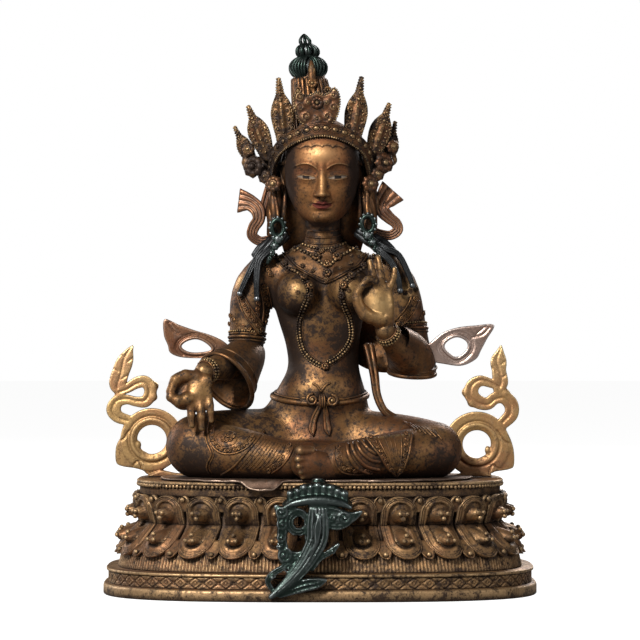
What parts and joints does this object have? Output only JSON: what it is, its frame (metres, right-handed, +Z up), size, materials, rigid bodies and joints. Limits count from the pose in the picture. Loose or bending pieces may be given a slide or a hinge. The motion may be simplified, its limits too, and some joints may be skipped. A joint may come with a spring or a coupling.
{
  "type": "tara figure",
  "caption": "Seated Tara with a leaved crown, looped scarf ends and lotus scrolls, on a double lotus plinth with a small lotus footrest.",
  "frame": {"origin": "middle of the plinth's underside", "axes": "+Z up, the figure faces -Y, +X is the viewer's right"},
  "size_m": [0.3444, 0.2422, 0.444],
  "materials": {
    "plinth_gilding": "worn gilding over copper, brown-black patina in the recesses",
    "gilt_copper": "worn fire gilding, bright where rubbed, brown-black patina in the folds",
    "scarf_brown": "brown gilding with engraved lines",
    "scarf_silvery": "silvery pink worn metal with engraved lines",
    "pale_gilding": "pale yellow gilding with brown spots",
    "dark_patina": "dark green-black patina, grey where rubbed"
  },
  "bodies": {
    "root": {"lotus_plinth": "plinth_gilding", "tara_figure": "gilt_copper", "scarf_end_left": "scarf_brown", "scarf_end_right": "scarf_silvery", "lotus_scroll_left": "pale_gilding", "lotus_scroll_right": "pale_gilding", "lotus_footrest": "dark_patina"}
  },
  "joints": []
}
